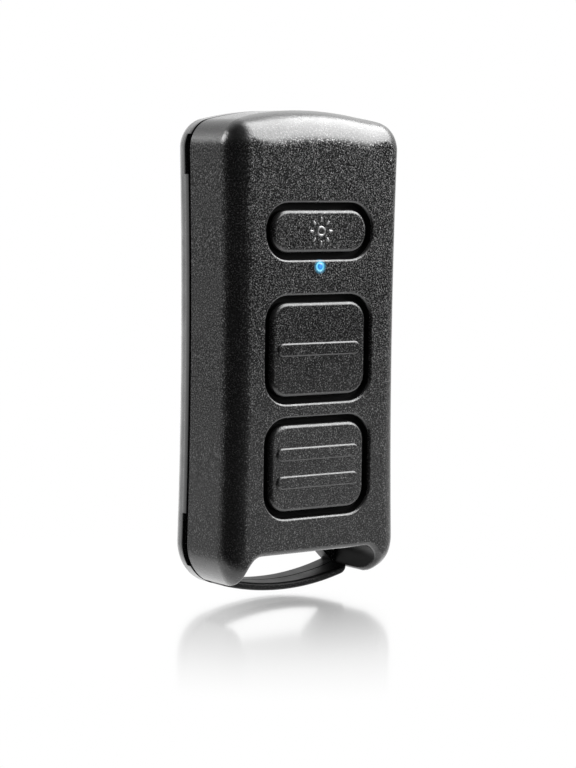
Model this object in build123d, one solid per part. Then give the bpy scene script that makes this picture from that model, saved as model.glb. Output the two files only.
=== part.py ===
"""A garage door remote: a two-shell case with three buttons and the circuit inside it.

Millimetres. +Z runs up the long axis, the buttons face -Y and +X is to the right seen from
the front. The origin is under the middle of the case, level with its lowest point. Depths
are measured from the front face towards the back.
"""

import os
from math import cos, radians, sin, sqrt

from build123d import *

# Openings and buttons, seen from the front
opening_width = 17.3
light_height = 7.44
one_bar_height = 14.3
two_bar_height = 13.4
opening_corner = 3.5
web_above_two_bar = 1.95
web_above_one_bar = 4.79
opening_edge = 0.3
button_gap = 0.83
cap_edge = 0.42
cap_wall = 1.2
cap_post_radius = 1.7
flange_lip = 0.6
flange_thickness = 0.8
flange_clearance = 0.05
travel = 0.4

# Raised marks on the buttons
mark_height = 0.25
mark_root = 0.1
bar_length = 12.6
bar_height = 1.5
bar_pitch = 3.7
sun_ring_radius = 0.62
sun_ring_width = 0.26
ray_count = 8
ray_inner = 1.05
ray_outer = 1.75
ray_width = 0.34

# Case
side_margin = 5.77
top_margin = 12.27
crown_radius = 50.0
arch_radius = 37.0
waist = 0.53
top_corner = 4.0
bottom_corner = 6.0
least_corner = 0.3
wall = 1.4
side_rounding = 3.0
top_rounding = 4.6
bottom_rounding = 4.8
back_rounding = 1.5
back_depth = 3.0
parting_gap = 0.4

# Key-ring slot at the bottom
notch_top = 6.2
notch_width = 21.9
notch_corner = 1.7
notch_edge = 0.5
leg_gap = 0.15
strap_thickness = 1.05
strap_forward = 3.3
slot_shoulder = 3.9
floor_wall = 1.2
margin_under_two_bar = 4.87

# Rim, hooks and pry slots
lip_thickness = 0.7
lip_height = 1.2
lip_clearance = 0.1
hook_length = 2.1
hook_width = 3.2
hook_spacing = 13.0
nub_height = 0.35
nub_length = 0.6
nub_clearance = 0.1
pry_depth = 0.75
pry_top = 3.3
pry_top_length = 5.35
pry_bottom = 3.95
pry_bottom_length = 7.25

# Guides inside the front cover
rib_thickness = 0.45
rib_clearance = 0.15
rib_overrun = 0.65
cavity_rounding = 1.6
ledge_width = 3.0
ledge_height = 1.8
post_radius = 1.3
post_inset = 2.0
post_above_web = 2.4
post_below_top = 4.8

# Indicator
bore_radius = 0.55
bore_below_opening = 1.05
guide_clearance = 0.03
guide_half_width = 1.2
guide_tall = 2.5
guide_above_bore = 0.26
guide_lamp_gap = 0.1
lamp_size = (1.6, 0.8)
lamp_height = 0.6

# Circuit board and its screws
board_clearance = 0.3
board_thickness = 1.0
board_standoff = 4.6
screw_radius = 0.8
pilot_radius = 0.65
screw_hole_radius = 0.95
screw_length = 3.4
screw_head_radius = 1.5
screw_head_height = 0.9
screw_recess_radius = 0.5
screw_recess_depth = 0.5

# Push switches
switch_size = 4.5
switch_height = 1.8
switch_corner = 0.4
plate_thickness = 0.15
well_radius = 1.65
plunger_radius = 1.1
plunger_clearance = 0.05
plunger_head_radius = 1.5
plunger_head_height = 0.4
plunger_proud = 1.4
dome_radius = 1.5
dome_thickness = 0.1
dome_gap = 0.05
terminal_width = 0.7
terminal_reach = 0.9
terminal_height = 0.3

# Cell, its holder and contacts
cell_radius = 10.0
cell_thickness = 3.2
cell_can_rise = 0.3
cell_cap_radius = 8.6
cell_clearance = 0.15
cell_lift = 0.6
holder_wall = 1.1
holder_base = 0.5
holder_height = 3.2
holder_window_radius = 5.5
clip_width = 5.0
clip_thickness = 0.3
clip_leg_gap = 0.1
clip_lip_gap = 0.4
contact_width = 4.0
contact_length = 9.0
contact_thickness = 0.2
contact_dimple_radius = 1.4
back_clearance = 0.9

# Parts on the back of the board: width, height and thickness, and place from between the lower posts
controller_size = (4.4, 5.0, 1.1)
controller_place = (-4.6, -4.6)
lead_count = 7
lead_width = 0.24
lead_pitch = 0.65
lead_reach = 0.95
lead_height = 0.6
radio_size = (4.0, 4.0, 0.85)
radio_place = (4.4, -1.2)
crystal_size = (3.2, 2.5, 0.7)
crystal_place = (-4.4, 1.8)
filter_size = (3.0, 3.0, 1.0)
filter_place = (4.4, 4.4)
coil_size = (2.0, 2.5, 1.6)
coil_places = ((-0.2, 4.0), (-0.2, 7.6))
chip_size = (1.6, 0.8)
capacitor_height = 0.8
capacitor_places = ((0.0, -6.6), (0.0, -5.0), (0.0, -3.4), (8.2, -4.4), (8.2, -2.8), (8.2, 3.6), (8.2, 5.2))
resistor_height = 0.45
resistor_places = ((-8.6, -6.2), (-8.6, -4.6), (-8.6, 3.6), (-8.6, 5.2), (-8.6, 6.8))
antenna_thickness = 0.1
antenna_track = 1.0
antenna_width = 15.2
antenna_height = 8.0
antenna_gap = 3.0
antenna_below_edge = 1.6

# Heights worked out from the bottom up
cavity_floor = notch_top + floor_wall
two_bar_bottom = notch_top + margin_under_two_bar
two_bar_top = two_bar_bottom + two_bar_height
one_bar_bottom = two_bar_top + web_above_two_bar
one_bar_top = one_bar_bottom + one_bar_height
light_bottom = one_bar_top + web_above_one_bar
light_top = light_bottom + light_height
case_height = light_top + top_margin
post_low = one_bar_top + post_above_web
bore_z = light_bottom - bore_below_opening

# Widths worked out from the openings outwards
case_width = opening_width + 2 * side_margin
half_width = case_width / 2

# Depths worked out from the front face backwards
flange_front = wall + flange_clearance
flange_back = flange_front + flange_thickness
rib_back = flange_back + travel + rib_overrun
board_front = wall + board_standoff
board_back = board_front + board_thickness
switch_front = board_front - switch_height
plunger_tip = switch_front - plunger_proud
head_front = switch_front + plunger_clearance
head_back = head_front + plunger_head_height
well_floor = head_back + travel + dome_thickness + dome_gap
cell_front = board_back + cell_lift
cell_back = cell_front + cell_thickness
clip_back = cell_back + clip_thickness
back_inside = clip_back + back_clearance
case_depth = back_inside + wall
back_rim = case_depth - back_depth
front_rim = back_rim - parting_gap
strap_front = back_rim - strap_forward

# The raised marks stand in front of the face, and the origin is midway through the whole depth
face_y = (mark_height - case_depth) / 2
holder_radius = cell_radius + cell_clearance + holder_wall
clip_reach = holder_radius + clip_leg_gap + clip_thickness
lip_inset = lip_clearance + lip_thickness
cell_z = cavity_floor + lip_inset + clip_lip_gap + clip_reach


def at_depth(depth):
    """The plane across the case at a depth behind its face, with Z as the sketch's own up."""
    return Plane(origin=(0, face_y + depth, 0), x_dir=(1, 0, 0), z_dir=(0, -1, 0))


def prism(sketch, front, back):
    return extrude(at_depth(back) * sketch, amount=back - front)


def rod(x, z, radius, front, back):
    return prism(Pos(x, z) * Circle(radius), front, back)


def block(x, z, width, height, front, back):
    return prism(Pos(x, z) * Rectangle(width, height), front, back)


def solid_of(shape):
    """The one solid of a shape, or its solids as a group."""
    solids = shape.solids()
    return solids[0] if len(solids) == 1 else Compound(children=list(solids))


def near_depth(edges, depth):
    """Edges that lie flat at one depth."""
    y = face_y + depth
    return [e for e in edges if abs(e.bounding_box().min.Y - y) < 0.01 and abs(e.bounding_box().max.Y - y) < 0.01]


def arc_drop(radius, x):
    """How far an arc has left its tangent at a distance x along it."""
    return radius - sqrt(radius**2 - x**2)


def waist_band(inset):
    """The space between the case's two sides, which bow in towards the middle, drawn long at both ends."""
    low = arc_drop(arch_radius, half_width)
    high = case_height - arc_drop(crown_radius, half_width)
    middle = (low + high) / 2
    narrow = half_width - waist - inset
    bow = waist * (2 * case_height / (high - low)) ** 2
    sides = []
    for side in (-1, 1):
        bottom = (side * (narrow + bow), middle - case_height)
        top = (side * (narrow + bow), middle + case_height)
        sides.append(Bezier(bottom, (side * (narrow - bow), middle), top))
    ends = [Line(sides[0] @ i, sides[1] @ i) for i in (0, 1)]
    return make_face(sides + ends)


def case_outline(inset=0.0):
    """The case from the front, drawn in by an inset: crowned top, waisted sides and an arched bottom."""
    outline = waist_band(inset) & Pos(0, arch_radius) * Circle(arch_radius - inset)
    outline &= Pos(0, case_height - crown_radius) * Circle(crown_radius - inset)
    outline = fillet(outline.vertices().group_by(Axis.Y)[-1], max(top_corner - inset, least_corner))
    return fillet(outline.vertices().group_by(Axis.Y)[0], max(bottom_corner - inset, least_corner))


def cavity_outline(inset=0.0):
    """The space inside the walls, above the key-ring slot, drawn in by an inset."""
    floor = cavity_floor + inset
    depth_in = wall + inset
    outline = waist_band(depth_in) & Pos(0, case_height - crown_radius) * Circle(crown_radius - depth_in)
    outline &= Pos(0, floor + case_height / 2) * Rectangle(2 * case_width, case_height)
    corners = outline.vertices().group_by(Axis.Y)[-1]
    return fillet(corners, max(top_corner - depth_in, least_corner))


def opening_outline(bottom, height, grow=0.0):
    centre = Pos(0, bottom + height / 2)
    return centre * RectangleRounded(opening_width + 2 * grow, height + 2 * grow, opening_corner + grow)


def button_outlines(grow=0.0):
    """The three openings, each grown by the same amount."""
    shapes = [
        opening_outline(two_bar_bottom, two_bar_height, grow),
        opening_outline(one_bar_bottom, one_bar_height, grow),
        opening_outline(light_bottom, light_height, grow),
    ]
    return shapes


def front_body():
    """The front cover's outer form, rounded over at its front."""
    body = prism(case_outline(), 0, front_rim)
    body = fillet(near_depth(body.edges(), 0), side_rounding)
    crown = rod(0, case_height - crown_radius, crown_radius, 0, front_rim)
    crown = fillet(near_depth(crown.edges(), 0), top_rounding)
    arch = rod(0, arch_radius, arch_radius, 0, front_rim)
    arch = fillet(near_depth(arch.edges(), 0), bottom_rounding)
    return body & crown & arch


def notch_outline():
    """The gap between the two legs, open at the bottom."""
    height = notch_top + case_width
    notch = Pos(0, notch_top - height / 2) * RectangleRounded(notch_width, height, notch_corner)
    return notch


def notch_cutter():
    """The space of the notch, flared at the front so that the notch's front edge comes out rounded."""
    block = prism(Rectangle(3 * case_width, 3 * case_height), 0, front_rim)
    notched = block - prism(notch_outline(), 0, front_rim)
    inner = [e for e in near_depth(notched.edges(), 0) if abs((e @ 0.5).X) < case_width]
    inner = [e for e in inner if abs((e @ 0.5).Z) < case_height]
    return block - fillet(inner, notch_edge)


def post_places():
    board_half = half_width - waist - wall - board_clearance
    x = board_half - post_inset
    high = case_height - wall - arc_drop(crown_radius, x) - post_below_top
    return [(side * x, z) for side in (-1, 1) for z in (post_low, high)]


def guide_block(grow=0.0):
    """The light guide behind the front wall."""
    top = bore_z + guide_above_bore + grow
    bottom = bore_z + guide_above_bore - guide_tall - grow
    width = 2 * (guide_half_width + grow)
    return Pos(0, (top + bottom) / 2) * Rectangle(width, top - bottom)


def hook_windows(grow=0.0):
    """Where the hooks stand along the top and the floor of the cavity."""
    windows = Sketch()
    for side in (-1, 1):
        windows += Pos(side * hook_spacing / 2, case_height / 2) * Rectangle(hook_width + 2 * grow, 2 * case_height)
    return windows


def front_cover():
    cover = front_body() - notch_cutter()
    cavity = prism(cavity_outline(), wall, front_rim)
    cover -= fillet(near_depth(cavity.edges(), wall), cavity_rounding)
    for opening in button_outlines():
        cover -= prism(opening, 0, wall)
    rims = [e for e in near_depth(cover.edges(), 0) if e.bounding_box().min.Z > two_bar_bottom - opening_edge]
    rims = [e for e in rims if e.bounding_box().max.Z < light_top + opening_edge]
    cover = fillet(rims, opening_edge)
    cover -= rod(0, bore_z, bore_radius, 0, wall)

    guides = Sketch()
    for outline in button_outlines(flange_lip + rib_clearance + rib_thickness):
        guides += outline
    for outline in button_outlines(flange_lip + rib_clearance):
        guides -= outline
    guides -= guide_block(rib_clearance)
    inside = cavity_outline()
    cover += prism(guides & inside, wall, rib_back)

    supports = Sketch()
    for x, z in post_places():
        supports += Pos(x, z) * Circle(post_radius)
    ledge_x = notch_width / 2 - ledge_width / 2
    for side in (-1, 1):
        supports += Pos(side * ledge_x, cavity_floor + ledge_height / 2) * Rectangle(ledge_width, ledge_height)
    cover += prism(supports & inside, wall, board_front)
    for x, z in post_places():
        cover -= rod(x, z, pilot_radius, board_front - screw_length + board_thickness, board_front)

    catch = (cavity_outline(-nub_height - nub_clearance) - cavity_outline()) & hook_windows(nub_clearance)
    nub_front = back_rim - hook_length
    cover -= prism(catch, nub_front - nub_clearance, nub_front + nub_length + nub_clearance)
    return cover


def back_cover():
    cover = prism(case_outline(), back_rim, case_depth)
    cover = fillet(near_depth(cover.edges(), case_depth), back_rounding)
    tongue_width = notch_width - 2 * leg_gap
    tongue = case_outline() & Pos(0, 0) * Rectangle(tongue_width, 2 * notch_top)
    cover += prism(tongue, strap_front, back_rim)
    cover -= prism(cavity_outline(), back_rim, back_inside)

    shoulder_x = tongue_width / 2 - slot_shoulder
    drop = notch_top - slot_shoulder
    slot = make_face(
        Polyline(
            (-shoulder_x, notch_top),
            (shoulder_x, notch_top),
            (tongue_width / 2, drop),
            (tongue_width / 2, -notch_top),
            (-tongue_width / 2, -notch_top),
            (-tongue_width / 2, drop),
            close=True,
        )
    )
    inner_arch = Pos(0, arch_radius) * Circle(arch_radius - strap_thickness)
    cover -= prism(slot & inner_arch, back_rim, case_depth)
    above_strap = Pos(0, notch_top) * Rectangle(2 * case_width, 2 * notch_top) & inner_arch
    cover -= prism(above_strap, strap_front, back_rim)

    rim = case_outline() - case_outline(wall + lip_clearance)
    pry_high = case_height - pry_top
    top_slots = Pos(0, pry_high - pry_top_length / 2) * Rectangle(2 * case_width, pry_top_length)
    bottom_slots = Pos(0, pry_bottom + pry_bottom_length / 2) * Rectangle(2 * case_width, pry_bottom_length)
    sides = Rectangle(2 * case_width, 3 * case_height) - Rectangle(notch_width, 3 * case_height)
    cover -= prism(rim & (top_slots + bottom_slots) & sides, back_rim, back_rim + pry_depth)

    lip = cavity_outline(lip_clearance) - cavity_outline(lip_inset)
    cover += prism(lip, back_rim - lip_height, back_inside)
    nub_front = back_rim - hook_length
    arms = lip & hook_windows()
    cover += prism(arms, nub_front, back_rim)
    nubs = (cavity_outline(-nub_height) - cavity_outline(lip_inset)) & hook_windows()
    cover += prism(nubs, nub_front, nub_front + nub_length)
    return cover


def cap(bottom, height):
    """A hollow button cap with its flange behind the front wall and a post to its switch."""
    middle = bottom + height / 2
    shell = prism(opening_outline(bottom, height, -button_gap), 0, flange_back)
    shell = fillet(near_depth(shell.edges(), 0), cap_edge)
    shell += prism(opening_outline(bottom, height, flange_lip), flange_front, flange_back)
    shell -= prism(opening_outline(bottom, height, -button_gap - cap_wall), cap_wall, flange_back)
    shell += rod(0, middle, cap_post_radius, cap_wall, plunger_tip)
    return shell


def bar(z):
    mark = prism(Pos(0, z) * SlotOverall(bar_length, bar_height), -mark_height, mark_root)
    return fillet(near_depth(mark.edges(), -mark_height), mark_height * 0.8)


def light_cap():
    middle = light_bottom + light_height / 2
    sun = Circle(sun_ring_radius + sun_ring_width / 2) - Circle(sun_ring_radius - sun_ring_width / 2)
    for i in range(ray_count):
        turn = i * 360 / ray_count
        reach = (ray_inner + ray_outer) / 2
        place = Pos(reach * cos(radians(turn)), reach * sin(radians(turn))) * Rot(0, 0, turn)
        sun += place * SlotOverall(ray_outer - ray_inner, ray_width)
    return cap(light_bottom, light_height) + prism(Pos(0, middle) * sun, -mark_height, mark_root)


def one_bar_cap():
    middle = one_bar_bottom + one_bar_height / 2
    return cap(one_bar_bottom, one_bar_height) + bar(middle)


def two_bar_cap():
    middle = two_bar_bottom + two_bar_height / 2
    shell = cap(two_bar_bottom, two_bar_height)
    for side in (-1, 1):
        shell += bar(middle + side * bar_pitch / 2)
    return shell


def light_guide():
    pin = rod(0, bore_z, bore_radius - guide_clearance, 0, wall)
    return pin + prism(guide_block(), wall, board_front - lamp_height - guide_lamp_gap)


def indicator_lamp():
    z = bore_z + guide_above_bore - guide_tall / 2
    return block(0, z, *lamp_size, board_front - lamp_height, board_front)


def circuit_board():
    outline = cavity_outline(board_clearance)
    for x, z in post_places():
        outline -= Pos(x, z) * Circle(screw_hole_radius)
    return prism(outline, board_front, board_back)


def board_screws():
    screws = Part()
    head_back = board_back + screw_head_height
    for x, z in post_places():
        screw = rod(x, z, screw_radius, board_back - screw_length, board_back)
        head = rod(x, z, screw_head_radius, board_back, head_back)
        head = fillet(near_depth(head.edges(), head_back), screw_head_height / 3)
        recess = Pos(x, z) * RegularPolygon(screw_recess_radius, 6)
        screws += screw + head - prism(recess, head_back - screw_recess_depth, head_back)
    return screws


def switch_base(z):
    base = prism(Pos(0, z) * RectangleRounded(switch_size, switch_size, switch_corner), switch_front, board_front)
    return base - rod(0, z, well_radius, switch_front, well_floor)


def switch_plate(z):
    plate = RectangleRounded(switch_size, switch_size, switch_corner) - Circle(plunger_radius + plunger_clearance)
    return prism(Pos(0, z) * plate, switch_front - plate_thickness, switch_front)


def switch_plunger(z):
    stem = rod(0, z, plunger_radius, plunger_tip, head_front)
    return stem + rod(0, z, plunger_head_radius, head_front, head_back)


def switch_dome(z):
    """A shallow sprung shell on the floor of the switch's well."""
    apex = head_back + dome_gap
    rise = well_floor - apex
    radius = (dome_radius**2 + rise**2) / (2 * rise)
    outside = Pos(0, face_y + apex + radius, z) * Sphere(radius)
    inside = Pos(0, face_y + apex + radius, z) * Sphere(radius - dome_thickness)
    return (outside - inside) & rod(0, z, dome_radius, apex, well_floor)


def switch_terminals():
    legs = Part()
    for z in switch_places().values():
        for side in (-1, 1):
            for end in (-1, 1):
                x = side * (switch_size + terminal_reach) / 2
                leg_z = z + end * (switch_size / 2 - terminal_width)
                legs += block(x, leg_z, terminal_reach, terminal_width, board_front - terminal_height, board_front)
    return legs


def switch_places():
    return {
        "light": light_bottom + light_height / 2,
        "one_bar": one_bar_bottom + one_bar_height / 2,
        "two_bar": two_bar_bottom + two_bar_height / 2,
    }


def coin_cell():
    can = rod(0, cell_z, cell_radius, cell_front + cell_can_rise, cell_back)
    can = fillet(near_depth(can.edges(), cell_back), cell_can_rise)
    return can + rod(0, cell_z, cell_cap_radius, cell_front, cell_front + cell_can_rise)


def cell_holder():
    walls = Circle(holder_radius) - Circle(holder_radius - holder_wall)
    base = Circle(holder_radius) - Circle(holder_window_radius)
    holder = prism(Pos(0, cell_z) * base, board_back, board_back + holder_base)
    return holder + prism(Pos(0, cell_z) * walls, board_back, board_back + holder_height)


def positive_clip():
    """A strip bridging the cell, with a leg down to the board at each end."""
    clip = block(0, cell_z, clip_width, 2 * clip_reach, cell_back, clip_back)
    for side in (-1, 1):
        leg_z = cell_z + side * (clip_reach - clip_thickness / 2)
        clip += block(0, leg_z, clip_width, clip_thickness, board_back, cell_back)
    return clip


def negative_contact():
    contact = block(0, cell_z, contact_width, contact_length, board_back, board_back + contact_thickness)
    return contact + rod(0, cell_z, contact_dimple_radius, board_back + contact_thickness, cell_front)


def on_board(place, size):
    """A block on the back of the board, placed from the height of the lower posts."""
    x, rise = place
    width, height, thickness = size
    return block(x, post_low + rise, width, height, board_back, board_back + thickness)


def microcontroller():
    chip = on_board(controller_place, controller_size)
    x, rise = controller_place
    for side in (-1, 1):
        for i in range(lead_count):
            lead_x = x + side * (controller_size[0] + lead_reach) / 2
            lead_rise = rise + (i - (lead_count - 1) / 2) * lead_pitch
            chip += on_board((lead_x, lead_rise), (lead_reach, lead_width, lead_height))
    return chip


def group_on_board(places, size):
    parts = Part()
    for place in places:
        parts += on_board(place, size)
    return parts


def loop_antenna():
    """A copper track round the top of the board, open in the middle of its lower run."""
    top = case_height - wall - board_clearance - antenna_below_edge - arc_drop(crown_radius, antenna_width / 2)
    loop = Rectangle(antenna_width, antenna_height)
    loop -= Rectangle(antenna_width - 2 * antenna_track, antenna_height - 2 * antenna_track)
    loop -= Pos(0, -antenna_height / 2) * Rectangle(antenna_gap, 3 * antenna_track)
    return prism(Pos(0, top - antenna_height / 2) * loop, board_back, board_back + antenna_thickness)


def all_parts():
    parts = {
        "front_cover": front_cover(),
        "back_cover": back_cover(),
        "light_button_cap": light_cap(),
        "one_bar_button_cap": one_bar_cap(),
        "two_bar_button_cap": two_bar_cap(),
        "light_guide": light_guide(),
        "indicator_lamp": indicator_lamp(),
        "circuit_board": circuit_board(),
        "board_screws": board_screws(),
        "switch_terminals": switch_terminals(),
        "coin_cell": coin_cell(),
        "cell_holder": cell_holder(),
        "positive_clip": positive_clip(),
        "negative_contact": negative_contact(),
        "microcontroller": microcontroller(),
        "radio_chip": on_board(radio_place, radio_size),
        "crystal": on_board(crystal_place, crystal_size),
        "radio_filter": on_board(filter_place, filter_size),
        "tuning_coils": group_on_board(coil_places, coil_size),
        "chip_capacitors": group_on_board(capacitor_places, (*chip_size, capacitor_height)),
        "chip_resistors": group_on_board(resistor_places, (*chip_size, resistor_height)),
        "loop_antenna": loop_antenna(),
    }
    for name, z in switch_places().items():
        parts[f"{name}_switch_base"] = switch_base(z)
        parts[f"{name}_switch_plate"] = switch_plate(z)
        parts[f"{name}_switch_plunger"] = switch_plunger(z)
        parts[f"{name}_switch_dome"] = switch_dome(z)
    return parts


os.makedirs("parts", exist_ok=True)
for node, shape in all_parts().items():
    export_step(solid_of(shape), f"parts/{node}.step")
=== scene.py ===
# Looks of the garage door remote: covers, buttons, indicator, inner parts, light and camera
from math import atan, atan2, cos, pi, radians, sin, sqrt

import bpy
import numpy as np
from mathutils import Matrix, Vector
from mathutils.geometry import delaunay_2d_cdt
from mathutils.kdtree import KDTree


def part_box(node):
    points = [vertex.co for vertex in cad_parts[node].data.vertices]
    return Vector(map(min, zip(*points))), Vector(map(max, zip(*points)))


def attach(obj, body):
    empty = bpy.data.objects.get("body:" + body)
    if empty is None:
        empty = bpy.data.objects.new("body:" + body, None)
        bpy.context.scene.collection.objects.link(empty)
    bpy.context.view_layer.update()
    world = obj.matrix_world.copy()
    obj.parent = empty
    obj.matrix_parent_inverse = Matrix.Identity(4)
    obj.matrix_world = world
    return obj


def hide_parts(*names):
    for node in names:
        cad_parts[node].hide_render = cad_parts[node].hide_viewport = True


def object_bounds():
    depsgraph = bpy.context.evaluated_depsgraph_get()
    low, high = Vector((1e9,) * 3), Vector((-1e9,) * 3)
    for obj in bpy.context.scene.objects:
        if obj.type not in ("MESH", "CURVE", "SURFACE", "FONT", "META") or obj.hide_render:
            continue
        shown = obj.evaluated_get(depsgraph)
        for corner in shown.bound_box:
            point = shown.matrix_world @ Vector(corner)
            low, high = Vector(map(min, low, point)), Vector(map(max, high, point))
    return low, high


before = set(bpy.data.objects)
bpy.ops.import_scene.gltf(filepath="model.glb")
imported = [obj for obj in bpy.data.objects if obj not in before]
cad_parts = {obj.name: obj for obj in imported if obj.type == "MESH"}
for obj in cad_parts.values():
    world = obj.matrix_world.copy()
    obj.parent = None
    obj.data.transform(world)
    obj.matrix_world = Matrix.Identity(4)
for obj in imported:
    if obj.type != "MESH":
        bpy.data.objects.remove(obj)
cadLow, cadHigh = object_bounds()
mm = 0.001
tiny = 1e-9  # keeps divisions away from zero
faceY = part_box("front_cover")[0].y / mm  # depths in this file are millimetres behind the front face
print("frame loaded with", len(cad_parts), "nodes")


# Mesh forms: points are shared by place, and every face corner keeps its own normal
def newForm():
    return {"spots": {}, "points": [], "faces": [], "normals": [], "finish": 0, "finishes": []}


def addPoint(form, x, depth, z):
    key = (round(x * 1000), round(depth * 1000), round(z * 1000))
    if key not in form["spots"]:
        form["spots"][key] = len(form["points"])
        form["points"].append((x * mm, (faceY + depth) * mm, z * mm))
    return form["spots"][key]


def addFace(form, corners, normals):
    # corners are (x, depth, z); normals is one vector for a flat face or one for each corner
    ids = [addPoint(form, *corner) for corner in corners]
    if len(set(ids)) < 3:
        return
    each = [normals] * len(ids) if len(np.shape(normals)) == 1 else normals
    kept = [i for i in range(len(ids)) if ids[i] != ids[i - 1]]  # neighbours that fall together count once
    ids, each = [ids[i] for i in kept], [Vector(each[i]) for i in kept]
    spots = [Vector(form["points"][i]) for i in ids]
    area = sum([(p - spots[0]).cross(q - spots[0]) for p, q in zip(spots, spots[1:])], Vector((0, 0, 0)))
    if area.length < 1e-16:
        return
    if area.dot(sum(each, Vector((0, 0, 0)))) < 0:
        ids.reverse()
        each.reverse()
    form["faces"].append(ids)
    form["finishes"].append(form["finish"])
    form["normals"] += [n.normalized() for n in each]


def addObject(name, data):
    piece = bpy.data.objects.new(name, data)
    bpy.context.scene.collection.objects.link(piece)
    return piece


def addPatch(form, corners):
    # A face from pairs of corner and normal
    addFace(form, [corner for corner, _ in corners], [way for _, way in corners])


def addPanel(form, p, q, low, high, normals):
    # A wall between two spots, from one depth to another
    addFace(form, [(p[0], low, p[1]), (q[0], low, q[1]), (q[0], high, q[1]), (p[0], high, p[1])], normals)


def addStrip(form, here, there, finishes=None):
    # Quads between two rows of pairs of corner and normal; finishes has one value for each corner
    for i in range(len(here) - 1):
        if finishes:
            form["finish"] = max(finishes[i:i + 2])
        addPatch(form, (here[i], here[i + 1], there[i + 1], there[i]))


def finishForm(form, name, body, materials):
    mesh = bpy.data.meshes.new(name)
    mesh.from_pydata(form["points"], [], form["faces"])
    mesh.polygons.foreach_set("use_smooth", [True] * len(mesh.polygons))
    mesh.normals_split_custom_set(form["normals"])
    for material in materials:
        mesh.materials.append(material)
    mesh.polygons.foreach_set("material_index", form["finishes"])
    piece = addObject(name, mesh)
    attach(piece, body)
    print("made", name, "with", len(mesh.polygons), "faces")
    return piece


def fillPlan(loops, lines, dots, inside):
    # Triangles of a flat region seen from the front; loops are closed rows that start with x and z, and lines open ones
    spots, edges = [], []
    for row, closed in [(loop, True) for loop in loops] + [(line, False) for line in lines]:
        first = len(spots)
        spots += [Vector((float(p[0]), float(p[1]))) for p in row]
        edges += [(first + i, first + i + 1) for i in range(len(row) - 1)]
        if closed:
            edges.append((first + len(row) - 1, first))
    spots += [Vector((float(p[0]), float(p[1]))) for p in dots]
    result = delaunay_2d_cdt(spots, edges, [], 0, 1e-4, False)
    points = np.array([(v.x, v.y) for v in result[0]])
    triangles = np.array([list(t) for t in result[2]])
    keep = inside(points[triangles].mean(axis=1))
    return points, triangles[keep]


def planKey(point):
    return (round(point[0] * 1000), round(point[1] * 1000))


# The case's outline from the front: crowned top, waisted sides, arched bottom
case = {
    "halfWidth": 14.42, "waist": 0.53, "crown": 50.0, "arch": 37.0, "topCorner": 4.0, "bottomCorner": 6.0,
    "sideRound": 3.0, "topRound": 4.6, "bottomRound": 4.8, "backRound": 1.5, "wall": 1.4, "spacing": 0.5,
    "topBlend": (12.8, 5.0), "bottomBlend": (13.9, 3.2),  # how far across the fuller rounds reach, and how softly
    "frontSteps": 11, "backSteps": 8, "sideGap": 1.6, "topGap": 0.6, "bottomGap": 0.7,  # gaps are shares of the spacing
}
filler = {"grid": 1.3, "lowest": 0.6, "fromEdge": 5.2, "fromFeature": 0.4}  # the loose points that fill the flats
caseHeight = cadHigh.z / mm
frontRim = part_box("front_cover")[1].y / mm - faceY
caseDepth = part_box("back_cover")[1].y / mm - faceY


def sideBySide(*columns):
    return np.stack(columns, axis=1)


def arcRow(centre, radius, first, last, spacing, side=1):
    # Rows of x, z and the outward normal's x and z along an arc; side -1 is a hollow arc
    count = max(3, int(abs(last - first) * radius / spacing) + 2)
    angles = np.linspace(first, last, count)
    turned = sideBySide(np.cos(angles), np.sin(angles))
    return np.hstack([np.array(centre) + radius * turned, side * turned])


def lineRow(start, end, normal, spacing):
    start, end = np.array(start, float), np.array(end, float)
    count = max(2, int(np.linalg.norm(end - start) / spacing) + 2)
    share = np.linspace(0, 1, count)[:, None]
    points = start + share * (end - start)
    return np.hstack([points, np.tile(np.array(normal, float), (count, 1))])


def joinRows(rows):
    joined = np.vstack([rows[0]] + [row[1:] for row in rows[1:]])
    joined[:, :2] = np.round(joined[:, :2], 3)
    return joined


sideLow = case["arch"] - sqrt(case["arch"] ** 2 - case["halfWidth"] ** 2)
sideHigh = caseHeight - case["crown"] + sqrt(case["crown"] ** 2 - case["halfWidth"] ** 2)
sideMiddle, sideHalf = (sideLow + sideHigh) / 2, (sideHigh - sideLow) / 2


def sideX(z):
    # The waisted side is a parabola
    return case["halfWidth"] - case["waist"] + case["waist"] * ((z - sideMiddle) / sideHalf) ** 2


def sideTilt(z):
    # How far the side leans there
    return np.arctan(2 * case["waist"] * (z - sideMiddle) / sideHalf**2)


def cornerSpot(arcZ, arcRadius, corner, sign):
    # Centre of a corner that touches the side and the top or bottom arc, and the height where it meets the side
    meet = arcZ + sign * (arcRadius - 2 * corner)
    for _ in range(30):
        tilt = sideTilt(meet)
        x = sideX(meet) - corner * cos(tilt)
        z = arcZ + sign * sqrt((arcRadius - corner) ** 2 - x**2)
        meet = z - corner * sin(tilt)
    return x, z, meet


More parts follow.
